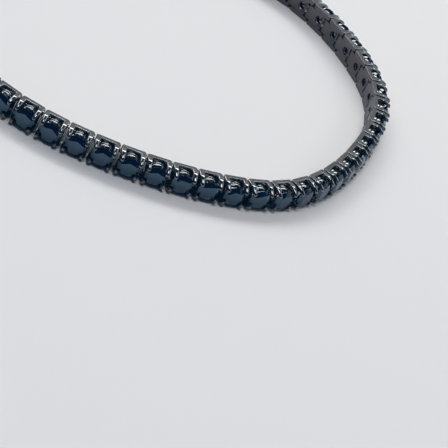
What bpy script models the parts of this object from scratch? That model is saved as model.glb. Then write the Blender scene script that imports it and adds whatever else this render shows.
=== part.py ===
"""Tennis bracelet: square four-prong links with round faceted stones, hinged into a closed loop.

Metres, +Z up. The bracelet lies on its edge on the floor, z = 0, and the origin is the middle of
its footprint. In a link's own frame X runs along the chain, Y points outward through the stone
and Z is up. X = 0 is midway between the link's two hinge axes, and Y = 0 is on those axes.
"""
import math

import bmesh
import bpy
import numpy as np
from mathutils import Vector

MM = 0.001

# Stone: a round cut, set with its girdle upright. Its table has half as many sides as its girdle
STONE_DIAMETER = 2.8 * MM
STONE_SIDES = 12
TABLE_DIAMETER = 1.9 * MM
CROWN_HEIGHT = 0.42 * MM
PAVILION_DEPTH = 1.2 * MM
GIRDLE_FROM_BACK = 2.0 * MM

# Link: two side plates, each a back rail with two arms that become prongs
LINK_COUNT = 50
STONE_SPACING = 0.5 * MM
LINK_CLEARANCE = 0.2 * MM
SETTING_ABOVE_STONE = 0.22 * MM
PLATE_THICKNESS = 0.58 * MM
RAIL_DEPTH = 0.45 * MM
ARM_WIDTH = 0.6 * MM
ARM_DRAFT = 0.05 * MM
CORNER_CUT = 0.3 * MM
KNEE_BELOW_GIRDLE = 0.85 * MM
TIP_ABOVE_TABLE = 0.18 * MM
TIP_LEAN_OVER = 0.38 * MM
TIP_LEAN_ALONG = 0.05 * MM
TIP_SIZE = 0.42 * MM

# Sections of a prong beyond its knee, as shares of its reach and of the tip's lean and taper
PRONG_SECTIONS = (
    {"reach": 0.3, "lean": 0.16, "taper": 0.05},
    {"reach": 1.0, "lean": 1.0, "taper": 1.0},
)

# Hinge: a square bar at the front of each link inside the eye at the back of the next one
BAR_SIZE = 0.34 * MM
BAR_INSET = 0.08 * MM
HINGE_CLEARANCE = 0.12 * MM
EYE_WALL = 0.25 * MM
EYE_WIDTH = 1.75 * MM
EYE_ROOT = 0.2 * MM
EYE_SWING = 0.2 * MM

# Back wall of a link: it closes the back between the side plates and carries the eye
WALL_STEP = 0.06 * MM
WALL_THICKNESS = 0.33 * MM

# Clasp: one plain box, closed, with the same bar and eye at its ends
CLASP_LENGTH = 11.6 * MM
CLASP_DEPTH = 2.3 * MM
CLASP_BEVEL = 0.3 * MM
CLASP_POCKET = 0.2 * MM

# Guide points of the closed curve that the hinge axes follow, seen from above, in order round the loop
ROUTE = (
    (-38.5, 37.5),
    (-30.5, 49.0),
    (-18.0, 57.5),
    (-3.0, 56.5),
    (11.0, 42.5),
    (10.5, 29.5),
    (9.5, 20.5),
    (5.5, 9.5),
    (-4.5, 3.5),
    (-16.0, -0.5),
    (-32.5, -1.0),
    (-44.0, 10.0),
    (-45.5, 25.0),
)
ROUTE_STEPS = 24
CHAIN_START = 0.7 * MM

# Sizes that follow from those above
PITCH = STONE_DIAMETER + STONE_SPACING
LINK_HEIGHT = STONE_DIAMETER + 2 * SETTING_ABOVE_STONE
HALF_BODY = (PITCH - LINK_CLEARANCE) / 2
BODY_CENTRE = LINK_CLEARANCE / 2 + BAR_INSET + BAR_SIZE / 2
WALL_START = BODY_CENTRE - HALF_BODY + CORNER_CUT
BACK = -(BAR_SIZE / 2 + HINGE_CLEARANCE + EYE_WALL)
GIRDLE = BACK + GIRDLE_FROM_BACK
TABLE = GIRDLE + CROWN_HEIGHT
KNEE = GIRDLE - KNEE_BELOW_GIRDLE
TIP = TABLE + TIP_ABOVE_TABLE


def clear_scene():
    for item in list(bpy.data.objects):
        bpy.data.objects.remove(item)


def make_material(name, colour, metallic, roughness):
    material = bpy.data.materials.new(name)
    material.use_nodes = True
    shader = material.node_tree.nodes["Principled BSDF"]
    shader.inputs["Base Color"].default_value = (*colour, 1.0)
    shader.inputs["Metallic"].default_value = metallic
    shader.inputs["Roughness"].default_value = roughness
    return material


def add_object(name, mesh):
    item = bpy.data.objects.new(name, mesh)
    bpy.context.scene.collection.objects.link(item)
    return item


def finish_mesh(bm, name, material):
    """Turn the faces outward and make an object of them."""
    bmesh.ops.recalc_face_normals(bm, faces=bm.faces)
    mesh = bpy.data.meshes.new(name)
    bm.to_mesh(mesh)
    bm.free()
    mesh.materials.append(material)
    return add_object(name, mesh)


def prism(outline, low, high):
    """A plate with the given outline in X and Y, between two heights."""
    bm = bmesh.new()
    lower = [bm.verts.new((x, y, low)) for x, y in outline]
    upper = [bm.verts.new((x, y, high)) for x, y in outline]
    bm.faces.new(lower)
    bm.faces.new(upper)
    for i in range(len(outline)):
        j = (i + 1) % len(outline)
        bm.faces.new((lower[i], lower[j], upper[j], upper[i]))
    return bm


def box(x_low, x_high, y_low, y_high, z_low, z_high):
    return prism([(x_low, y_low), (x_high, y_low), (x_high, y_high), (x_low, y_high)], z_low, z_high)


def make_stone(material):
    """Table, crown, girdle edge and pavilion, turned about the link's Y axis."""
    bm = bmesh.new()
    centre = Vector((BODY_CENTRE, 0, LINK_HEIGHT / 2))

    def ring(radius, y, sides):
        points = []
        for i in range(sides):
            angle = 2 * math.pi * i / sides
            points.append(bm.verts.new(centre + Vector((radius * math.cos(angle), y, radius * math.sin(angle)))))
        return points

    table = ring(TABLE_DIAMETER / 2, TABLE, STONE_SIDES // 2)
    girdle = ring(STONE_DIAMETER / 2, GIRDLE, STONE_SIDES)
    culet = bm.verts.new(centre + Vector((0, GIRDLE - PAVILION_DEPTH, 0)))
    bm.faces.new(table)
    for i, corner in enumerate(table):
        before, here, after = girdle[2 * i - 1], girdle[2 * i], girdle[2 * i + 1]
        bm.faces.new((corner, before, here))
        bm.faces.new((corner, here, after))
        bm.faces.new((corner, after, table[(i + 1) % len(table)]))
        bm.faces.new((culet, before, here))
        bm.faces.new((culet, here, after))
    return finish_mesh(bm, "stone", material)


def make_side_plate(side, material):
    """One plate with its two prongs. The lower plate has side -1 and the upper one +1."""
    outer = HALF_BODY - ARM_DRAFT
    inner = outer - ARM_WIDTH
    right = [(HALF_BODY - CORNER_CUT, BACK), (HALF_BODY, BACK + CORNER_CUT), (outer, KNEE), (inner, KNEE),
             (inner, BACK + RAIL_DEPTH)]
    left = [(-x, y) for x, y in reversed(right)]
    outline = [(BODY_CENTRE + x, y) for x, y in right + left]
    outside = LINK_HEIGHT / 2 * (1 + side)
    bm = prism(outline, outside - side * PLATE_THICKNESS, outside)
    ends = sorted(bm.faces, key=lambda face: face.calc_center_median().y)[-2:]
    for end in ends:
        add_prong(bm, end, side)
    return finish_mesh(bm, "side_plate", material)


def add_prong(bm, end, side):
    """Carry an arm's end face outward, leaning over the stone and tapering to the tip."""
    start = end.calc_center_median()
    towards_middle = math.copysign(1, BODY_CENTRE - start.x)
    lean = Vector((towards_middle * TIP_LEAN_ALONG, 0, -side * TIP_LEAN_OVER))
    offsets = [corner.co - start for corner in end.verts]
    for section in PRONG_SECTIONS:
        end = bmesh.ops.extrude_discrete_faces(bm, faces=[end])["faces"][0]
        centre = start + Vector((0, section["reach"] * (TIP - KNEE), 0)) + section["lean"] * lean
        width = 1 - section["taper"] * (1 - TIP_SIZE / ARM_WIDTH)
        thickness = 1 - section["taper"] * (1 - TIP_SIZE / PLATE_THICKNESS)
        for corner, offset in zip(end.verts, offsets):
            corner.co = centre + Vector((offset.x * width, 0, offset.z * thickness))


def make_bar(centre_x, material):
    """The hinge bar between the two side plates, with its ends inside their arms."""
    half = BAR_SIZE / 2
    sunk = PLATE_THICKNESS / 2
    bm = box(centre_x - half, centre_x + half, -half, half, sunk, LINK_HEIGHT - sunk)
    return finish_mesh(bm, "hinge_bar", material)


def make_back_wall(material):
    """The wall between the two side plates. It stops where the next link's eye swings."""
    sunk = PLATE_THICKNESS / 2
    front = PITCH / 2 - (BAR_SIZE / 2 + HINGE_CLEARANCE + EYE_WALL) - EYE_SWING
    back = BACK + WALL_STEP
    bm = box(WALL_START, front, back, back + WALL_THICKNESS, sunk, LINK_HEIGHT - sunk)
    return finish_mesh(bm, "back_wall", material)


def make_eye(centre_x, root_x, material):
    """A square eye round the bar at centre_x, drawn out to root_x where its own link begins."""
    hole = BAR_SIZE / 2 + HINGE_CLEARANCE
    outer = hole + EYE_WALL
    low, high = (LINK_HEIGHT - EYE_WIDTH) / 2, (LINK_HEIGHT + EYE_WIDTH) / 2
    outside = [(centre_x - outer, -outer), (root_x, -outer), (root_x, outer), (centre_x - outer, outer)]
    inside = [(centre_x - hole, -hole), (centre_x + hole, -hole), (centre_x + hole, hole), (centre_x - hole, hole)]
    bm = bmesh.new()
    rings = [[bm.verts.new((x, y, z)) for x, y in ring] for z in (low, high) for ring in (outside, inside)]
    low_out, low_in, high_out, high_in = rings
    for i in range(len(outside)):
        j = (i + 1) % len(outside)
        for a, b in ((low_out, low_in), (high_out, high_in), (low_out, high_out), (low_in, high_in)):
            bm.faces.new((a[i], a[j], b[j], b[i]))
    return finish_mesh(bm, "eye", material)


def unite(base, others, name):
    """One closed mesh of several overlapping pieces, each face with its own piece's material."""
    for other in others:
        cut = base.modifiers.new("union", "BOOLEAN")
        cut.operation = "UNION"
        cut.object = other
        cut.material_mode = "TRANSFER"
    evaluated = base.evaluated_get(bpy.context.evaluated_depsgraph_get())
    mesh = bpy.data.meshes.new_from_object(evaluated)
    mesh.name = name
    for item in (base, *others):
        bpy.data.objects.remove(item)
    return mesh


def make_link_mesh(metal, stone):
    pieces = [make_side_plate(side, metal) for side in (-1, 1)]
    pieces += [make_back_wall(metal), make_bar(PITCH / 2, metal)]
    pieces.append(make_eye(-PITCH / 2, WALL_START + EYE_ROOT, metal))
    return unite(make_stone(stone), pieces, "link")


def make_clasp_mesh(metal):
    """A bevelled box. Two cheeks at its front hold a bar, and an eye stands out at its back."""
    hinge = CLASP_LENGTH / 2
    start = -hinge + LINK_CLEARANCE + BAR_INSET + BAR_SIZE / 2
    end = hinge + BAR_SIZE / 2 + BAR_INSET
    body = finish_mesh(box(start, end, BACK, BACK + CLASP_DEPTH, 0, LINK_HEIGHT), "clasp_body", metal)
    bevel = body.modifiers.new("edges", "BEVEL")
    bevel.width = CLASP_BEVEL
    bevel.segments = 1
    pocket = hinge - (BAR_SIZE / 2 + HINGE_CLEARANCE + EYE_WALL) - CLASP_POCKET
    past = CLASP_POCKET
    opening = box(pocket, end + past, BACK - past, BACK + CLASP_DEPTH + past,
                  PLATE_THICKNESS, LINK_HEIGHT - PLATE_THICKNESS)
    cutter = finish_mesh(opening, "clasp_cutter", metal)
    cutter.hide_render = True
    cutter.display_type = "WIRE"
    cut = body.modifiers.new("pocket", "BOOLEAN")
    cut.operation = "DIFFERENCE"
    cut.object = cutter
    mesh = unite(body, [make_bar(hinge, metal), make_eye(-hinge, start + EYE_ROOT, metal)], "clasp")
    bpy.data.objects.remove(cutter)
    return mesh


def route_curve():
    """The closed cubic curve through the neighbourhood of the guide points, as a dense line."""
    guides = np.array(ROUTE) * MM
    t = np.arange(ROUTE_STEPS) / ROUTE_STEPS
    weights = np.stack([(1 - t) ** 3, 3 * t ** 3 - 6 * t ** 2 + 4, -3 * t ** 3 + 3 * t ** 2 + 3 * t + 1, t ** 3])
    count = len(guides)
    spans = [weights.T @ guides[[i - 1, i, (i + 1) % count, (i + 2) % count]] / 6 for i in range(count)]
    return np.concatenate(spans + [spans[0][:1]])


def hinge_points():
    """Places of all hinge axes: equal steps along the route, which is sized to the chain's length."""
    line = route_curve()
    along = np.concatenate([[0], np.cumsum(np.hypot(*np.diff(line, axis=0).T))])
    chain = LINK_COUNT * PITCH + CLASP_LENGTH
    size = chain / along[-1]
    wanted = (CHAIN_START + np.arange(LINK_COUNT + 1) * PITCH) % chain / size
    return np.stack([np.interp(wanted, along, line[:, 0]), np.interp(wanted, along, line[:, 1])], axis=1) * size


def place_between(item, start, end):
    """Lay an object along the chord from one hinge axis to the next."""
    middle = (start + end) / 2
    heading = math.atan2(end[1] - start[1], end[0] - start[0])
    item.location = (middle[0], middle[1], 0)
    item.rotation_euler = (0, 0, heading)


def centre_on_origin(items):
    """Move everything so that the footprint's middle is the origin."""
    bpy.context.view_layer.update()
    points = [item.matrix_world @ corner.co for item in items for corner in item.data.vertices]
    low = Vector(min(point[axis] for point in points) for axis in range(3))
    high = Vector(max(point[axis] for point in points) for axis in range(3))
    middle = (low + high) / 2
    for item in items:
        item.location -= Vector((middle.x, middle.y, low.z))


def build():
    clear_scene()
    metal = make_material("dark_metal", (0.075, 0.078, 0.075), 1.0, 0.22)
    stone = make_material("black_stone", (0.006, 0.011, 0.02), 0.0, 0.06)
    link_mesh = make_link_mesh(metal, stone)
    hinges = hinge_points()
    items = []
    for number in range(1, LINK_COUNT + 1):
        link = add_object(f"link_{number:02d}", link_mesh)
        place_between(link, hinges[number - 1], hinges[number])
        items.append(link)
    clasp = add_object("clasp", make_clasp_mesh(metal))
    place_between(clasp, hinges[-1], hinges[0])
    items.append(clasp)
    centre_on_origin(items)


build()
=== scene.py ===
"""The looks of a tennis bracelet: polished dark metal links with black faceted stones.

Metres, +Z up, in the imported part's frame. In a link's own frame X runs along the chain, Y points
outward through the stone and Z is up. X = 0 is midway between the link's hinge axes, Y = 0 is on them.
"""
import math

import bmesh
import bpy
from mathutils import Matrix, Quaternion, Vector
from mathutils.geometry import convex_hull_2d


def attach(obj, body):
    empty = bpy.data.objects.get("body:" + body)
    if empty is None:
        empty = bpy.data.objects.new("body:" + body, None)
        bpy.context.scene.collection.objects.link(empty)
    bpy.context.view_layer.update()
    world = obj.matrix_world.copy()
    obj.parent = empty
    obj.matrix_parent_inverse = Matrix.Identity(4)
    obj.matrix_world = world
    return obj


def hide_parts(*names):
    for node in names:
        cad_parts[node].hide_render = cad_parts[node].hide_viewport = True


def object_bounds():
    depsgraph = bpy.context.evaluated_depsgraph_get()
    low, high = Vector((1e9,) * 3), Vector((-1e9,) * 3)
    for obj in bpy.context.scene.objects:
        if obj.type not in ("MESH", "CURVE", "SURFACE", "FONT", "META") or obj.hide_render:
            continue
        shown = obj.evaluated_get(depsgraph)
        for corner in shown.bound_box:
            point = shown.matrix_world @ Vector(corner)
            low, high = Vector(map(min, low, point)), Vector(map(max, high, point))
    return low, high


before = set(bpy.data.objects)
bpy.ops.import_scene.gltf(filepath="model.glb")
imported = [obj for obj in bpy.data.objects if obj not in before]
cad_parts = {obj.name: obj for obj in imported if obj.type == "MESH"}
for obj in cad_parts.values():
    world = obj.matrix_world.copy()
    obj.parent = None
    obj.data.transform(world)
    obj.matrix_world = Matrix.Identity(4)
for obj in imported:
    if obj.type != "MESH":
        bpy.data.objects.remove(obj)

MM = 0.001
cad_low, cad_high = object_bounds()

# Camera: where it looks, from which side, and how far it is rolled to the left
CAMERA_AIM = (16.89 * MM, -28.3 * MM, 0.44 * MM)
CAMERA_AZIMUTH = math.radians(0.16)
CAMERA_ELEVATION = math.radians(32.86)
CAMERA_ROLL = math.radians(27.35)
CAMERA_DISTANCE = 355.0 * MM
NEAREST_SEEN = 10.0 * MM
FARTHEST_SEEN = 10.0
SENSOR_WIDTH = 36.0
LENS = 241.07

# Link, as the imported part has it
LINK_HEIGHT = cad_high.z - cad_low.z
PITCH = 3.3 * MM
LINK_CLEARANCE = 0.2 * MM
HALF_BODY = (PITCH - LINK_CLEARANCE) / 2
BODY_CENTRE = 0.35 * MM
BACK = -0.54 * MM
MIDDLE = LINK_HEIGHT / 2
TOUCH = 0.01 * MM

# Side plate: a back rail and two arms
PLATE_THICKNESS = 0.58 * MM
RAIL_DEPTH = 0.6 * MM
ARM_WIDTH = 0.62 * MM
ARM_DRAFT = 0.01 * MM
OUTER_CORNER = 0.3 * MM
INNER_CORNER = 0.12 * MM
CORNER_STEPS = 6

# Edges: metal edges and facet edges sharper than these angles are rounded
EDGE_ROUND = 0.09 * MM
EDGE_STEPS = 3
SHARP_EDGE = math.radians(40)
FACET_EDGE = 0.012 * MM
SHARP_FACET = math.radians(4)

# Prong: it grows out of an arm's end, bends over the stone on an arc and runs straight to a domed tip.
# The plate's face is sunk a little, so that the prong's root covers the plate's end.
KNEE = BACK + 1.35 * MM
TIP = BACK + 2.56 * MM
PRONG_ROOT = 0.12 * MM
SUNK = 0.005 * MM
PRONG_BEND = 1.5 * MM
PRONG_TILT = math.radians(30)
PRONG_LEAN_ALONG = 0.05 * MM
TIP_SIZE = 0.48 * MM
BEND_STEPS = 6
STRAIGHT_STEPS = 1
TIP_STEPS = 3
TIP_STEP_LEFT_FLAT = 0.5

# Prong's corners: radius, the share of its length where it is reached, and its largest share of a side
PRONG_ROUND = 0.24 * MM
PRONG_ROUND_STEPS = 3
PRONG_FULL_AT = 0.3
FULL_ROUND = 0.49

# Gallery: two crowned bands bent between the arms above the stone's pavilion and two below
BAND_WIDTH = 0.45 * MM
BAND_THICKNESS = 0.15 * MM
BAND_BEND = 1.25 * MM
BAND_SPAN = math.radians(98)
BAND_ROWS = (BACK + 0.78 * MM, BACK + 1.25 * MM)
BAND_SIDES = 16
BAND_STEPS = 16

# Back wall: closed but for a round hole behind the stone, and short of where the next link's eye swings
WALL_STEP = 0.05 * MM
WALL_THICKNESS = 0.34 * MM
EYE_SWING = 0.08 * MM
HOLE_RADIUS = 0.62 * MM

# Cup behind the stone, turned about the stone's axis: distance from the back, outer and inner radius
CUP_SECTIONS = (
    {"from_back": 0.03 * MM, "outer": 0.62 * MM, "inner": 0.58 * MM},
    {"from_back": 0.05 * MM, "outer": 0.66 * MM, "inner": 0.54 * MM},
    {"from_back": 0.10 * MM, "outer": 0.68 * MM, "inner": 0.52 * MM},
    {"from_back": 0.40 * MM, "outer": 0.70 * MM, "inner": 0.50 * MM},
    {"from_back": 1.00 * MM, "outer": 0.76 * MM, "inner": 0.58 * MM},
    {"from_back": 1.06 * MM, "outer": 0.71 * MM, "inner": 0.64 * MM},
)
CUP_SIDES = 28

# Hinge: a round pin at the front of each link inside the eye of the next one
PIN_SIZE = 0.34 * MM
PIN_INSET = 0.08 * MM
HINGE_CLEARANCE = 0.1 * MM
HOLE_REACH = PIN_SIZE / 2 + HINGE_CLEARANCE
EYE_WALL = 0.24 * MM
EYE_REACH = HOLE_REACH + EYE_WALL
EYE_WIDTH = 1.9 * MM
EYE_ROOT = 0.2 * MM
EYE_ROUND = EDGE_ROUND / 2
END_WALL_DEPTH = 0.12 * MM
END_WALL_ROUND = END_WALL_DEPTH / 4
END_WALL_NEAR = BACK + 0.25 * MM
END_WALL_FAR = BACK + 1.25 * MM
ROUND_SIDES = 20

# Stone: a round brilliant cut with eight main facets, turned by up to the given angle in its setting
STONE_RADIUS = 1.39 * MM
GIRDLE = BACK + 2.0 * MM
GIRDLE_THICKNESS = 0.06 * MM
TABLE = GIRDLE + 0.41 * MM
TABLE_RADIUS = 0.84 * MM
STAR_RADIUS = 1.08 * MM
STAR_DROP = 0.115 * MM
PAVILION_DEPTH = 1.2 * MM
LOWER_RADIUS = 0.3 * MM
MAIN_FACETS = 8
STONE_TURN = math.radians(45)

# Clasp: one plain closed box with rounded edges
CLASP_DEPTH = 2.3 * MM
CLASP_ROUND = 0.3 * MM
CLASP_POCKET = 0.2 * MM

# Plating: the tones it clouds between, the backs' tone, its roughness, what backs add, and links' brightness
PLATING_TONES = ((0.17, 0.178, 0.185, 1), (0.205, 0.207, 0.204, 1))
PLATING_BACK = (0.118, 0.108, 0.114, 1)
PLATING_ROUGH = (0.05, 0.12)
BACK_ADDS_ROUGH = 0.25
LINK_TONES = (0.9, 1.1)
PLATING_MARKS = {"Cloud scale": 700.0, "Grain scale": 9000.0, "Scratch scale": 5200.0}
MARK_STRENGTH = 0.05
MARK_DEPTH = 0.004 * MM
SCRATCH_STRETCH = (1.0, 0.18, 0.6)

# Stone's finish
STONE_TONES = ((0.0002, 0.003, 0.011, 1), (0.0005, 0.005, 0.017, 1))
STONE_ROUGH = (0.03, 0.08)
STONE_IOR = 2.05
STONE_TINT = (0.43, 0.71, 0.98, 1)
STONE_MARKS = {"Cloud scale": 500.0, "Grain scale": 12000.0, "Scratch scale": 3000.0}

# Painted glow: a faint blue emission on all the metal and stones, painted light that lifts the deepest shade
# between the links to navy
PAINTED_GLOW_BLUE = (0.05, 0.45, 1.0, 1)
PAINTED_GLOW_LEVEL = 0.009

# Floor: matt pale card
FLOOR_REACH = 3.0
FLOOR_THICKNESS = 10.0 * MM
PALE_GREY = (0.835, 0.817, 0.803)
FLOOR_ROUGH = 0.9
FLOOR_GLOSS = 0.1
MOTTLE_SHADE = 0.985
MOTTLE_SCALE = 60.0

# Room: brightness by the height and by the depth looked at, its limits, and the colours of dim and pale
CEILING = {"From Min": 0.57, "From Max": 0.75, "To Min": 0.55, "To Max": 0.1}
CAMERA_SIDE = {"From Min": -0.3, "From Max": 0.4, "To Min": 0.24, "To Max": 1.0}
DIM_ROOM = 0.11
PALE_ROOM = 0.4
ROOM_TONES = ((0.12, 0.38, 0.85, 1), (0.97, 0.985, 1.0, 1))

# Lights: azimuth 0 is beyond the bracelet, as the camera looks, and 90 is to the right. Metres and degrees.
SOFTBOXES = (
    {"name": "key_light", "azimuth": -10, "elevation": 47, "distance": 0.6, "width": 0.46, "height": 0.16,
     "radiance": 6.7, "colour": (1.0, 0.995, 0.985)},
    {"name": "top_light", "azimuth": 180, "elevation": 76, "distance": 1.0, "width": 0.45, "height": 0.35,
     "radiance": 6.8, "colour": (0.99, 0.995, 1.0)},
    {"name": "left_window", "azimuth": -60, "elevation": 42, "distance": 1.2, "width": 0.6, "height": 0.42,
     "radiance": 3.8, "colour": (0.98, 0.99, 1.0)},
    {"name": "right_window", "azimuth": 62, "elevation": 40, "distance": 1.2, "width": 0.6, "height": 0.4,
     "radiance": 1.9, "colour": (1.0, 0.995, 0.99)},
)


def new_mesh_object(name, bm, smooth=True):
    """An object of a finished bmesh, with its faces turned outward."""
    bmesh.ops.recalc_face_normals(bm, faces=bm.faces)
    mesh = bpy.data.meshes.new(name)
    bm.to_mesh(mesh)
    bm.free()
    if smooth:
        mesh.shade_smooth()
    return placed(name, mesh)


def placed(name, data):
    """An object of a mesh, a camera or a light, in the scene."""
    item = bpy.data.objects.new(name, data)
    bpy.context.scene.collection.objects.link(item)
    return item


def round_edges(item, width, steps, sharp=SHARP_EDGE):
    bevel = item.modifiers.new("rounded_edges", "BEVEL")
    bevel.width = width
    bevel.segments = steps
    bevel.limit_method = "ANGLE"
    bevel.angle_limit = sharp


def settle(item):
    """Replace an object's mesh by its evaluated one and drop its modifiers."""
    evaluated = item.evaluated_get(bpy.context.evaluated_depsgraph_get())
    mesh = bpy.data.meshes.new_from_object(evaluated)
    item.modifiers.clear()
    item.data = mesh
    return item


def join(items, name):
    """One object of several, each shape as it is."""
    bm = bmesh.new()
    for item in items:
        bm.from_mesh(settle(item).data)
        bpy.data.objects.remove(item)
    mesh = bpy.data.meshes.new(name)
    bm.to_mesh(mesh)
    bm.free()
    return placed(name, mesh)


def bridge(bm, lower, upper):
    """Close the band between two rings of as many points."""
    for i in range(len(lower)):
        j = (i + 1) % len(lower)
        bm.faces.new((lower[i], lower[j], upper[j], upper[i]))


def loft(bm, rings):
    """Close a row of rings into a solid, with a cap at each end."""
    bm.faces.new(rings[0])
    bm.faces.new(rings[-1])
    for near, far in zip(rings, rings[1:]):
        bridge(bm, near, far)
    return bm


def prism(outline, low, high):
    """A plate with the given outline in X and Y, between two heights."""
    bm = bmesh.new()
    return loft(bm, [[bm.verts.new((x, y, z)) for x, y in outline] for z in (low, high)])


def box(x_low, x_high, y_low, y_high, z_low, z_high):
    return prism([(x_low, y_low), (x_high, y_low), (x_high, y_high), (x_low, y_high)], z_low, z_high)


def arc(centre, radius, start, end, steps):
    """Points on an arc in a plane, from one angle to another."""
    angles = [start + (end - start) * i / steps for i in range(steps + 1)]
    return [(centre[0] + radius * math.cos(a), centre[1] + radius * math.sin(a)) for a in angles]


def circle(centre, radius, sides):
    return arc(centre, radius, 0, 2 * math.pi * (1 - 1 / sides), sides - 1)


def turned_rings(bm, sections, sides):
    """Rings about the stone's axis. Each section is a distance along the axis and a radius."""
    rings = []
    for y, radius in sections:
        rings.append([bm.verts.new((x, y, z)) for x, z in circle((BODY_CENTRE, MIDDLE), radius, sides)])
    return rings


def cut_with(item, bm):
    """Cut a shape out of an object."""
    cutter = new_mesh_object("cutter", bm)
    cut = item.modifiers.new("cut", "BOOLEAN")
    cut.operation = "DIFFERENCE"
    cut.object = cutter
    settle(item)
    bpy.data.objects.remove(cutter)


def make_side_plate(side):
    """The lower plate has side -1 and the upper one +1. Each carries two prongs."""
    outer = HALF_BODY - ARM_DRAFT
    inner = outer - ARM_WIDTH
    corner = (HALF_BODY - OUTER_CORNER, BACK + OUTER_CORNER)
    notch = (inner - INNER_CORNER, BACK + RAIL_DEPTH + INNER_CORNER)
    right = arc(corner, OUTER_CORNER, -math.pi / 2, 0, CORNER_STEPS)
    right += [(outer, KNEE), (inner, KNEE)]
    right += arc(notch, INNER_CORNER, 0, -math.pi / 2, CORNER_STEPS // 2)
    left = [(-x, y) for x, y in reversed(right)]
    outline = [(BODY_CENTRE + x, y) for x, y in right + left]
    outside = MIDDLE * (1 + side)
    solid = prism(outline, outside - side * PLATE_THICKNESS, outside - side * SUNK)
    plate = new_mesh_object("side_plate", solid)
    round_edges(plate, EDGE_ROUND, EDGE_STEPS)
    middle = (outer + inner) / 2
    return join([plate, make_prong(-middle, side), make_prong(middle, side)], "plate_with_prongs")


def prong_line():
    """Distance from the knee and drop from the plate's outside, along the bend and then straight."""
    angles = [PRONG_TILT * (i + 1) / BEND_STEPS for i in range(BEND_STEPS)]
    bend = [(PRONG_BEND * math.sin(a), PRONG_BEND * (1 - math.cos(a))) for a in angles]
    reach, drop = bend[-1]
    length = TIP - PRONG_ROUND - KNEE - reach
    rest = [length * (i + 1) / STRAIGHT_STEPS for i in range(STRAIGHT_STEPS)]
    straight = [(reach + further, drop + further * math.tan(PRONG_TILT)) for further in rest]
    return [(-PRONG_ROOT, 0.0), (0.0, 0.0)] + bend + straight


def prong_sections():
    """Distance, drop, width and thickness, corner radius and inset of each section, from root to tip."""
    sections = []
    for distance, drop in prong_line():
        share = max(distance, 0.0) / (TIP - KNEE)
        size = [full + share * (TIP_SIZE - full) for full in (ARM_WIDTH, PLATE_THICKNESS)]
        rounding = EDGE_ROUND + (PRONG_ROUND - EDGE_ROUND) * min(share / PRONG_FULL_AT, 1.0)
        sections.append((distance, drop, size, min(rounding, min(size) * FULL_ROUND), 0.0))
    distance, drop, size, rounding, _ = sections[-1]
    for i in range(TIP_STEPS):
        angle = math.pi / 2 * (i + 1) / (TIP_STEPS + TIP_STEP_LEFT_FLAT)
        ahead, inset = PRONG_ROUND * math.sin(angle), PRONG_ROUND * (1 - math.cos(angle))
        smaller = [full - 2 * inset for full in size]
        corner = min(rounding, min(smaller) * FULL_ROUND)
        sections.append((distance + ahead, drop + ahead * math.tan(PRONG_TILT), smaller, corner, inset))
    return sections


def rounded_section(width, thickness, rounding):
    """Points round a rectangle with rounded corners."""
    points = []
    for quarter in range(4):
        turn = quarter * math.pi / 2
        corner_x = (width / 2 - rounding) * (1 if quarter in (0, 3) else -1)
        corner_z = (thickness / 2 - rounding) * (1 if quarter in (0, 1) else -1)
        points += arc((corner_x, corner_z), rounding, turn, turn + math.pi / 2, PRONG_ROUND_STEPS)
    return points


def make_prong(middle_x, side):
    """One prong: a rounded bar swept along its line, with a domed tip."""
    bm = bmesh.new()
    rings = []
    outside = MIDDLE * (1 + side)
    for distance, drop, (width, thickness), rounding, inset in prong_sections():
        lean = max(distance, 0.0) / (TIP - KNEE) * PRONG_LEAN_ALONG
        x = BODY_CENTRE + middle_x - math.copysign(lean, middle_x)
        z = outside - side * (drop + inset + thickness / 2)
        ring = rounded_section(width, thickness, rounding)
        rings.append([bm.verts.new((x + a, KNEE + distance, z + b)) for a, b in ring])
    return new_mesh_object("prong", loft(bm, rings))


def make_cup():
    """The turned cup that holds the stone's point, with a rolled rim."""
    outer = [(BACK + s["from_back"], s["outer"]) for s in CUP_SECTIONS]
    inner = [(BACK + s["from_back"], s["inner"]) for s in reversed(CUP_SECTIONS)]
    bm = bmesh.new()
    rings = turned_rings(bm, outer + inner, CUP_SIDES)
    for ring, following in zip(rings, rings[1:] + rings[:1]):
        bridge(bm, ring, following)
    return new_mesh_object("stone_cup", bm)


def make_pin(centre_x):
    """A round pin between the side plates, with its ends sunk in them."""
    sunk = PLATE_THICKNESS / 2
    outline = circle((centre_x, 0), PIN_SIZE / 2, ROUND_SIDES)
    return new_mesh_object("hinge_pin", prism(outline, sunk, LINK_HEIGHT - sunk))


def make_eye(centre_x, root_x):
    """A flat eye round the pin at centre_x, drawn out to root_x where its own link begins."""
    outside = [(root_x, -EYE_REACH)]
    outside += arc((centre_x, 0), EYE_REACH, -math.pi / 2, -3 * math.pi / 2, ROUND_SIDES)
    outside += [(root_x, EYE_REACH)]
    inside = arc((centre_x, 0), HOLE_REACH, -math.pi / 4, -math.pi * 7 / 4, len(outside) - 1)
    bm = bmesh.new()
    rings = []
    for z in (MIDDLE - EYE_WIDTH / 2, MIDDLE + EYE_WIDTH / 2):
        rings += [[bm.verts.new((x, y, z)) for x, y in ring] for ring in (outside, inside)]
    low_out, low_in, high_out, high_in = rings
    for lower, upper in ((low_out, low_in), (high_out, high_in), (low_out, high_out), (low_in, high_in)):
        bridge(bm, lower, upper)
    eye = new_mesh_object("eye", bm)
    round_edges(eye, EYE_ROUND, EDGE_STEPS - 1)
    return eye


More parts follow.
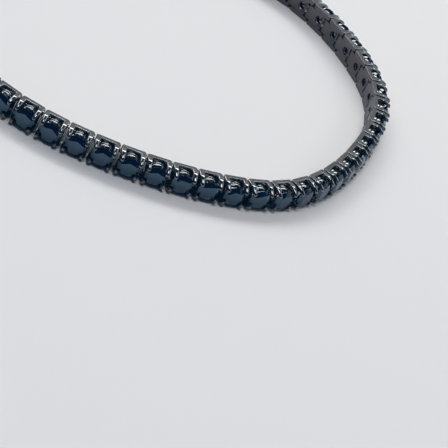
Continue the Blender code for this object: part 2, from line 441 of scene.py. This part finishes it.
def make_back_wall():
    """The wall between the side plates, with the round hole behind the stone."""
    start = BODY_CENTRE - HALF_BODY + OUTER_CORNER
    end = PITCH / 2 - EYE_REACH - EYE_SWING
    sunk = PLATE_THICKNESS / 2
    back = BACK + WALL_STEP
    solid = box(start, end, back, back + WALL_THICKNESS, sunk, LINK_HEIGHT - sunk)
    wall = new_mesh_object("back_wall", solid)
    bm = bmesh.new()
    hole = [(BACK, HOLE_RADIUS), (back + 2 * WALL_THICKNESS, HOLE_RADIUS)]
    cut_with(wall, loft(bm, turned_rings(bm, hole, CUP_SIDES)))
    return wall


def make_end_wall():
    """The thin wall that stands out a little between one link and the next, above and below the eye."""
    front = BODY_CENTRE - HALF_BODY
    low, high = EDGE_ROUND, LINK_HEIGHT - EDGE_ROUND
    solid = box(front - END_WALL_DEPTH, front + END_WALL_DEPTH, END_WALL_NEAR, END_WALL_FAR, low, high)
    wall = new_mesh_object("end_wall", solid)
    round_edges(wall, END_WALL_ROUND, 1)
    return wall


def make_hinge():
    """Pin, back wall, end wall and eye of one link."""
    eye = make_eye(-PITCH / 2, BODY_CENTRE - HALF_BODY + OUTER_CORNER + EYE_ROOT)
    return join([make_pin(PITCH / 2), make_back_wall(), make_end_wall(), eye], "hinge_shape")


def stone_ring(bm, radius, y, sides, turn):
    """Points of a stone's facets on a circle about its axis. A turn of 1 is one side."""
    angles = [2 * math.pi * (i + turn) / sides for i in range(sides)]
    points = [(BODY_CENTRE + radius * math.cos(a), y, MIDDLE + radius * math.sin(a)) for a in angles]
    return [bm.verts.new(point) for point in points]


def make_stone():
    """A round brilliant: table, star, kite and upper facets, girdle, lower facets and mains."""
    bm = bmesh.new()
    half_girdle = GIRDLE_THICKNESS / 2
    cut_depth = PAVILION_DEPTH * (1 - LOWER_RADIUS / STONE_RADIUS)
    table = stone_ring(bm, TABLE_RADIUS, TABLE, MAIN_FACETS, 0.5)
    star = stone_ring(bm, STAR_RADIUS, TABLE - STAR_DROP, MAIN_FACETS, 1.0)
    upper = stone_ring(bm, STONE_RADIUS, GIRDLE + half_girdle, 2 * MAIN_FACETS, 1.0)
    lower = stone_ring(bm, STONE_RADIUS, GIRDLE - half_girdle, 2 * MAIN_FACETS, 1.0)
    halves = stone_ring(bm, LOWER_RADIUS, GIRDLE - cut_depth, MAIN_FACETS, 1.0)
    culet = bm.verts.new((BODY_CENTRE, GIRDLE - PAVILION_DEPTH, MIDDLE))
    bm.faces.new(table)
    bridge(bm, upper, lower)
    for i in range(MAIN_FACETS):
        bm.faces.new((table[i], table[(i + 1) % MAIN_FACETS], star[i]))
        for points, rim, peak in ((star, upper, table[i]), (halves, lower, culet)):
            first, middle, last = rim[2 * i], rim[2 * i + 1], rim[(2 * i + 2) % len(rim)]
            bm.faces.new((points[i], first, middle))
            bm.faces.new((points[i], middle, last))
            bm.faces.new((peak, points[i - 1], first, points[i]))
    stone = new_mesh_object("stone_shape", bm, smooth=False)
    round_edges(stone, FACET_EDGE, 1, SHARP_FACET)
    return settle(stone)


def make_clasp(length):
    """A rounded box. Two cheeks at its front hold a pin, and an eye stands out at its back."""
    hinge = length / 2
    start = -hinge + LINK_CLEARANCE + PIN_INSET + PIN_SIZE / 2
    end = hinge + PIN_SIZE / 2 + PIN_INSET
    body = new_mesh_object("clasp_box", box(start, end, BACK, BACK + CLASP_DEPTH, 0, LINK_HEIGHT))
    round_edges(body, CLASP_ROUND, 2 * EDGE_STEPS)
    cut_with(body, box(
        hinge - EYE_REACH - CLASP_POCKET, end + CLASP_POCKET,
        BACK - CLASP_POCKET, BACK + CLASP_DEPTH + CLASP_POCKET,
        PLATE_THICKNESS, LINK_HEIGHT - PLATE_THICKNESS))
    return join([body, make_pin(hinge), make_eye(-hinge, start + CLASP_POCKET)], "clasp_shape")


def socket_named(tree, name):
    """The identifier of a tree's input, which is how a modifier knows it."""
    inputs = [item for item in tree.interface.items_tree if item.in_out == "INPUT"]
    return next(item.identifier for item in inputs if item.name == name)


def new_tree(name, inputs):
    """A geometry node tree with the given named inputs after its geometry."""
    tree = bpy.data.node_groups.new(name, "GeometryNodeTree")
    tree.interface.new_socket("Geometry", in_out="INPUT", socket_type="NodeSocketGeometry")
    tree.interface.new_socket("Geometry", in_out="OUTPUT", socket_type="NodeSocketGeometry")
    for label, kind in inputs:
        tree.interface.new_socket(label, in_out="INPUT", socket_type=f"NodeSocket{kind}")
    return tree


def linker(tree):
    """A short way to add a node with its settings and what feeds it."""
    def add(kind, feeds=(), **settings):
        node = tree.nodes.new(kind)
        for key, value in settings.items():
            setattr(node, key, value)
        for name, source in dict(feeds).items():
            socket = node.inputs[name]
            if isinstance(source, bpy.types.NodeSocket):
                tree.links.new(source, socket)
            else:
                socket.default_value = source
        return node
    return add


def finish_tree(add, given, instances):
    """End a tree with its copies made real and its finish on them."""
    real = add("GeometryNodeRealizeInstances", {"Geometry": instances.outputs["Instances"]})
    finish = add("GeometryNodeSetMaterial", {
        "Geometry": real.outputs["Geometry"], "Material": given.outputs["Finish"]})
    add("NodeGroupOutput", {"Geometry": finish.outputs["Geometry"]})


def chain_tree():
    """Lays one copy of a part on every edge of the line of hinge axes, and gives each a tone of its own."""
    tree = new_tree("lay_along_hinges", (
        ("Part", "Object"), ("Finish", "Material"), ("Seed", "Int"), ("Pivot", "Vector"), ("Turn", "Float")))
    add = linker(tree)
    given = add("NodeGroupInput")
    ends = add("GeometryNodeInputMeshEdgeVertices")
    along = add("ShaderNodeVectorMath", {
        0: ends.outputs["Position 2"], 1: ends.outputs["Position 1"]}, operation="SUBTRACT")
    kept = add("GeometryNodeCaptureAttribute", {"Geometry": given.outputs["Geometry"]}, domain="EDGE")
    kept.capture_items.new("VECTOR", "Along")
    tree.links.new(along.outputs["Vector"], kept.inputs["Along"])
    places = add("GeometryNodeMeshToPoints", {"Mesh": kept.outputs["Geometry"]}, mode="EDGES")
    tone = add("FunctionNodeRandomValue", {"Seed": given.outputs["Seed"]}, data_type="FLOAT")
    toned = add("GeometryNodeStoreNamedAttribute", {
        "Geometry": places.outputs["Points"], "Name": "tone", "Value": tone.outputs[1]}, data_type="FLOAT")
    turn = add("FunctionNodeAlignRotationToVector", {
        "Vector": kept.outputs["Along"]}, axis="X", pivot_axis="Z")
    part = add("GeometryNodeObjectInfo", {"Object": given.outputs["Part"]})
    place = add("GeometryNodeInputPosition")
    depth = add("ShaderNodeSeparateXYZ", {"Vector": place.outputs["Position"]})
    marked = add("GeometryNodeStoreNamedAttribute", {
        "Geometry": part.outputs["Geometry"], "Name": "outward", "Value": depth.outputs["Y"]},
        data_type="FLOAT")
    laid = add("GeometryNodeInstanceOnPoints", {
        "Points": toned.outputs["Geometry"], "Instance": marked.outputs["Geometry"],
        "Rotation": turn.outputs["Rotation"]})
    angle = add("ShaderNodeMath", {0: tone.outputs[1], 1: given.outputs["Turn"]}, operation="MULTIPLY")
    about = add("ShaderNodeCombineXYZ", {"Y": angle.outputs[0]})
    spun = add("GeometryNodeRotateInstances", {
        "Instances": laid.outputs["Instances"], "Rotation": about.outputs["Vector"],
        "Pivot Point": given.outputs["Pivot"], "Local Space": True})
    finish_tree(add, given, spun)
    return tree


def bands_tree():
    """Bends crowned bands between the arms: one arc for each point of the input, again on the other side."""
    tree = new_tree("gallery_bands", (
        ("Bend radius", "Float"), ("Span", "Float"), ("Width", "Float"), ("Thickness", "Float"),
        ("Steps", "Int"), ("Sides", "Int"), ("Finish", "Material")))
    add = linker(tree)
    given = add("NodeGroupInput")
    half = add("ShaderNodeMath", {0: given.outputs["Span"], 1: -0.5}, operation="MULTIPLY")
    begin = add("ShaderNodeMath", {0: half.outputs[0], 1: math.pi / 2}, operation="ADD")
    bow = add("GeometryNodeCurveArc", {
        "Resolution": given.outputs["Steps"], "Radius": given.outputs["Bend radius"],
        "Start Angle": begin.outputs[0], "Sweep Angle": given.outputs["Span"]}, mode="RADIUS")
    disc = add("GeometryNodeCurvePrimitiveCircle", {
        "Resolution": given.outputs["Sides"], "Radius": 0.5}, mode="RADIUS")
    size = add("ShaderNodeCombineXYZ", {
        "X": given.outputs["Thickness"], "Y": given.outputs["Width"], "Z": 1.0})
    section = add("GeometryNodeTransform", {
        "Geometry": disc.outputs["Curve"], "Scale": size.outputs["Vector"]})
    swept = add("GeometryNodeCurveToMesh", {
        "Curve": bow.outputs["Curve"], "Profile Curve": section.outputs["Geometry"], "Fill Caps": True})
    upright = add("GeometryNodeTransform", {
        "Geometry": swept.outputs["Mesh"], "Rotation": (math.pi / 2, 0, 0)})
    below = add("GeometryNodeTransform", {
        "Geometry": upright.outputs["Geometry"], "Rotation": (0, math.pi, 0)})
    pair = add("GeometryNodeJoinGeometry")
    for bent in (upright, below):
        tree.links.new(bent.outputs["Geometry"], pair.inputs["Geometry"])
    laid = add("GeometryNodeInstanceOnPoints", {
        "Points": given.outputs["Geometry"], "Instance": pair.outputs["Geometry"]})
    finish_tree(add, given, laid)
    return tree


def grown(name, line, tree, values):
    """The plain mesh that a tree makes of a line, with the tree's inputs set by their identifiers."""
    item = placed(name, line)
    modifier = item.modifiers.new(tree.name, "NODES")
    modifier.node_group = tree
    for label, value in values.items():
        modifier[socket_named(tree, label)] = value
    return settle(item)


def points_mesh(name, points, edges=()):
    mesh = bpy.data.meshes.new(name)
    mesh.from_pydata(points, edges, [])
    return mesh


def make_frame():
    """Both side plates of a link, with its four prongs."""
    return join([make_side_plate(-1), make_side_plate(1)], "plate_shapes")


def make_bands(finish):
    """The four gallery bands of a link."""
    rows = points_mesh("band_rows", [(BODY_CENTRE, y, MIDDLE) for y in BAND_ROWS])
    return grown("band_shapes", rows, bands_tree(), {
        "Bend radius": BAND_BEND, "Span": BAND_SPAN, "Width": BAND_WIDTH, "Thickness": BAND_THICKNESS,
        "Steps": BAND_STEPS, "Sides": BAND_SIDES, "Finish": finish})


def link_axes(name):
    """A link's rear and front hinge axes, found from its back rail.

    Of the two longest sides of the link's underside, the rail's is the one nearer to the loop's middle.
    """
    points = [vertex.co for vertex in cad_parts[name].data.vertices]
    plan = [point.xy for point in points if point.z < cad_low.z + TOUCH]
    hull = [plan[i] for i in convex_hull_2d(plan)]
    sides = sorted(zip(hull, hull[1:] + hull[:1]), key=lambda side: (side[1] - side[0]).length)
    start, end = min(sides[-2:], key=lambda side: (side[0] + side[1]).length)
    along = (end - start).normalized()
    outward = Vector((-along.y, along.x))
    if outward.dot(start) < 0:
        along, outward = -along, -outward
    middle = (start + end) / 2 - outward * BACK - along * BODY_CENTRE
    return [(*(middle + along * reach), 0.0) for reach in (-PITCH / 2, PITCH / 2)]


def mapped(add, value, low, high):
    """A value from 0 to 1 spread between two others."""
    node = add("ShaderNodeMapRange", {"Value": value, "To Min": low, "To Max": high})
    return node.outputs["Result"]


def between(add, first, second, share):
    """A colour that turns from the first into the second as the share goes from 0 to 1."""
    node = add("ShaderNodeMix", {"A": first, "B": second, "Factor": share}, data_type="RGBA")
    return node.outputs[2]


def polish_group():
    """What polishing and handling leave on a surface: broad clouding, fine grain and hairline scratches."""
    tree = bpy.data.node_groups.new("polish_marks", "ShaderNodeTree")
    tree.interface.new_socket("Vector", in_out="INPUT", socket_type="NodeSocketVector")
    for label in ("Cloud scale", "Grain scale", "Scratch scale"):
        tree.interface.new_socket(label, in_out="INPUT", socket_type="NodeSocketFloat")
    for label in ("Cloud", "Grain", "Height"):
        tree.interface.new_socket(label, in_out="OUTPUT", socket_type="NodeSocketFloat")
    add = linker(tree)
    given = add("NodeGroupInput")
    place = given.outputs["Vector"]
    stretch = add("ShaderNodeVectorMath", {0: place, 1: SCRATCH_STRETCH}, operation="MULTIPLY")
    cloud = add("ShaderNodeTexNoise", {
        "Vector": place, "Scale": given.outputs["Cloud scale"], "Detail": 3.0, "Roughness": 0.55})
    grain = add("ShaderNodeTexNoise", {
        "Vector": place, "Scale": given.outputs["Grain scale"], "Detail": 2.0, "Roughness": 0.6})
    scratch = add("ShaderNodeTexNoise", {
        "Vector": stretch.outputs["Vector"], "Scale": given.outputs["Scratch scale"],
        "Detail": 4.0, "Roughness": 0.75})
    height = add("ShaderNodeMath", {0: grain.outputs["Fac"], 1: scratch.outputs["Fac"]}, operation="ADD")
    add("NodeGroupOutput", {
        "Cloud": cloud.outputs["Fac"], "Grain": grain.outputs["Fac"], "Height": height.outputs[0]})
    return tree


def polish_marks(add, marks, scales):
    """The polish marks on a piece, at the given scales."""
    place = add("ShaderNodeTexCoord")
    return add("ShaderNodeGroup", {"Vector": place.outputs["Object"], **scales}, node_tree=marks)


def new_material(name):
    material = bpy.data.materials.new(name)
    material.use_nodes = True
    material.node_tree.nodes.clear()
    return material, linker(material.node_tree)


def dark_metal(marks):
    """Dark plating: polished, but duller and darker on the links' backs, and uneven where it clouds."""
    material, add = new_material("dark_metal")
    wear = polish_marks(add, marks, PLATING_MARKS)
    tone = add("ShaderNodeAttribute", attribute_name="tone")
    outward = add("ShaderNodeAttribute", attribute_name="outward")
    polished = add("ShaderNodeMapRange", {
        "Value": outward.outputs["Fac"], "From Min": BACK + WALL_STEP, "From Max": BACK + 2 * EDGE_ROUND})
    plating = between(add, *PLATING_TONES, wear.outputs["Cloud"])
    base = between(add, PLATING_BACK, plating, polished.outputs["Result"])
    shade = add("ShaderNodeHueSaturation", {
        "Color": base, "Value": mapped(add, tone.outputs["Fac"], *LINK_TONES)})
    sheen = mapped(add, wear.outputs["Cloud"], *PLATING_ROUGH)
    dull = mapped(add, polished.outputs["Result"], BACK_ADDS_ROUGH, 0.0)
    rough = add("ShaderNodeMath", {0: sheen, 1: dull}, operation="ADD")
    relief = add("ShaderNodeBump", {
        "Height": wear.outputs["Height"], "Strength": MARK_STRENGTH, "Distance": MARK_DEPTH})
    # The emission is a painted blue glow that lifts the deepest shade on the metal to navy
    shader = add("ShaderNodeBsdfPrincipled", {
        "Base Color": shade.outputs["Color"], "Metallic": 1.0, "Roughness": rough.outputs[0],
        "Normal": relief.outputs["Normal"], "Emission Color": PAINTED_GLOW_BLUE, "Emission Strength": PAINTED_GLOW_LEVEL})
    add("ShaderNodeOutputMaterial", {"Surface": shader.outputs["BSDF"]})
    return material


def black_stone(marks):
    """Opaque blue-black stone with a hard glassy polish."""
    material, add = new_material("black_stone")
    wear = polish_marks(add, marks, STONE_MARKS)
    # The emission is a painted blue glow, half as strong as on the metal, that lifts the stone's darkest
    # facets to navy
    shader = add("ShaderNodeBsdfPrincipled", {
        "Base Color": between(add, *STONE_TONES, wear.outputs["Cloud"]),
        "Roughness": mapped(add, wear.outputs["Grain"], *STONE_ROUGH),
        "IOR": STONE_IOR, "Specular Tint": STONE_TINT,
        "Emission Color": PAINTED_GLOW_BLUE, "Emission Strength": PAINTED_GLOW_LEVEL / 2})
    add("ShaderNodeOutputMaterial", {"Surface": shader.outputs["BSDF"]})
    return material


def floor_paint():
    """Matt pale card with the faintest mottle."""
    material, add = new_material("pale_floor")
    place = add("ShaderNodeTexCoord")
    mottle = add("ShaderNodeTexNoise", {
        "Vector": place.outputs["Object"], "Scale": MOTTLE_SCALE, "Detail": 2.0})
    darker = [MOTTLE_SHADE * c for c in PALE_GREY]
    tint = between(add, (*PALE_GREY, 1), (*darker, 1), mottle.outputs["Fac"])
    shader = add("ShaderNodeBsdfPrincipled", {
        "Base Color": tint, "Roughness": FLOOR_ROUGH, "Specular IOR Level": FLOOR_GLOSS})
    add("ShaderNodeOutputMaterial", {"Surface": shader.outputs["BSDF"]})
    return material


def add_floor():
    top = cad_low.z
    card = box(-FLOOR_REACH, FLOOR_REACH, -FLOOR_REACH, FLOOR_REACH, top - FLOOR_THICKNESS, top)
    floor = new_mesh_object("floor", card, smooth=False)
    floor.data.materials.append(floor_paint())


def direction(azimuth, elevation):
    """Which way a thing lies. Azimuth 0 is beyond the bracelet, as the camera looks, and 90 to the right."""
    level = math.cos(elevation)
    return Vector((math.sin(azimuth) * level, math.cos(azimuth) * level, math.sin(elevation)))


def add_camera():
    data = bpy.data.cameras.new("camera")
    data.sensor_width = SENSOR_WIDTH
    data.lens = LENS
    data.clip_start = NEAREST_SEEN
    data.clip_end = FARTHEST_SEEN
    camera = placed("camera", data)
    away = direction(math.pi - CAMERA_AZIMUTH, CAMERA_ELEVATION)
    camera.rotation_mode = "QUATERNION"
    camera.location = Vector(CAMERA_AIM) + CAMERA_DISTANCE * away
    camera.rotation_quaternion = (-away).to_track_quat("-Z", "Y") @ Quaternion((0, 0, 1), CAMERA_ROLL)
    bpy.context.scene.camera = camera


def add_softbox(name, azimuth, elevation, distance, width, height, radiance, colour):
    """A rectangular light that faces the bracelet."""
    data = bpy.data.lights.new(name, "AREA")
    data.shape = "RECTANGLE"
    data.size, data.size_y = width, height
    data.energy = radiance * math.pi * width * height
    data.color = colour
    light = placed(name, data)
    away = direction(math.radians(azimuth), math.radians(elevation))
    light.location = away * distance
    light.rotation_euler = away.to_track_quat("Z", "Y").to_euler()


def add_world():
    """A pale room: walls lighter than the ceiling, and darker on the camera's side."""
    world = bpy.data.worlds.new("pale_room")
    bpy.context.scene.world = world
    world.use_nodes = True
    world.node_tree.nodes.clear()
    add = linker(world.node_tree)
    look = add("ShaderNodeTexCoord")
    axes = add("ShaderNodeSeparateXYZ", {"Vector": look.outputs["Generated"]})
    sides = []
    for axis, levels in (("Z", CEILING), ("Y", CAMERA_SIDE)):
        side = add("ShaderNodeMapRange", {
            "Value": axes.outputs[axis], **levels}, interpolation_type="SMOOTHSTEP")
        sides.append(side.outputs["Result"])
    both = add("ShaderNodeMath", {0: sides[0], 1: sides[1]}, operation="MULTIPLY")
    level = add("ShaderNodeMath", {0: both.outputs[0], 1: DIM_ROOM}, operation="MAXIMUM")
    share = add("ShaderNodeMapRange", {
        "Value": level.outputs[0], "From Min": DIM_ROOM, "From Max": PALE_ROOM})
    hue = between(add, *ROOM_TONES, share.outputs["Result"])
    sky = add("ShaderNodeBackground", {"Color": hue, "Strength": level.outputs[0]})
    add("ShaderNodeOutputWorld", {"Surface": sky.outputs["Background"]})


def dress_bracelet():
    """All pieces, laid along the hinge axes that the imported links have."""
    names = sorted(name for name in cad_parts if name.startswith("link_"))
    axes = [link_axes(name) for name in names]
    hinges = [pair[0] for pair in axes] + [axes[-1][1]]
    chain = points_mesh("hinge_line", hinges, [(i, i + 1) for i in range(len(names))])
    closing = points_mesh("clasp_line", [hinges[-1], hinges[0]], [(0, 1)])
    clasp_length = (Vector(hinges[0]) - Vector(hinges[-1])).length

    marks = polish_group()
    metal, stone = dark_metal(marks), black_stone(marks)
    lay = chain_tree()
    shapes = (
        ("link_frames", make_frame(), chain, metal, "dark_metal"),
        ("gallery_bands", make_bands(metal), chain, metal, "dark_metal"),
        ("stone_cups", make_cup(), chain, metal, "dark_metal"),
        ("hinges", make_hinge(), chain, metal, "dark_metal"),
        ("stones", make_stone(), chain, stone, "black_stone"),
        ("clasp_case", make_clasp(clasp_length), closing, metal, "dark_metal"),
    )
    for seed, (name, shape, line, finish, slot) in enumerate(shapes):
        turn = STONE_TURN if name == "stones" else 0.0
        piece = grown(name, line, lay, {
            "Part": shape, "Finish": finish, "Seed": seed,
            "Pivot": (BODY_CENTRE, 0.0, MIDDLE), "Turn": turn})
        if slot == "dark_metal":
            flats = piece.modifiers.new("flat_faces", "WEIGHTED_NORMAL")
            flats.keep_sharp = True
        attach(piece, "root")
        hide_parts(*(["clasp"] if line is closing else names))
        bpy.data.objects.remove(shape)


dress_bracelet()
add_floor()
add_camera()
add_world()
for softbox in SOFTBOXES:
    add_softbox(**softbox)
bpy.context.scene.view_settings.view_transform = "Standard"
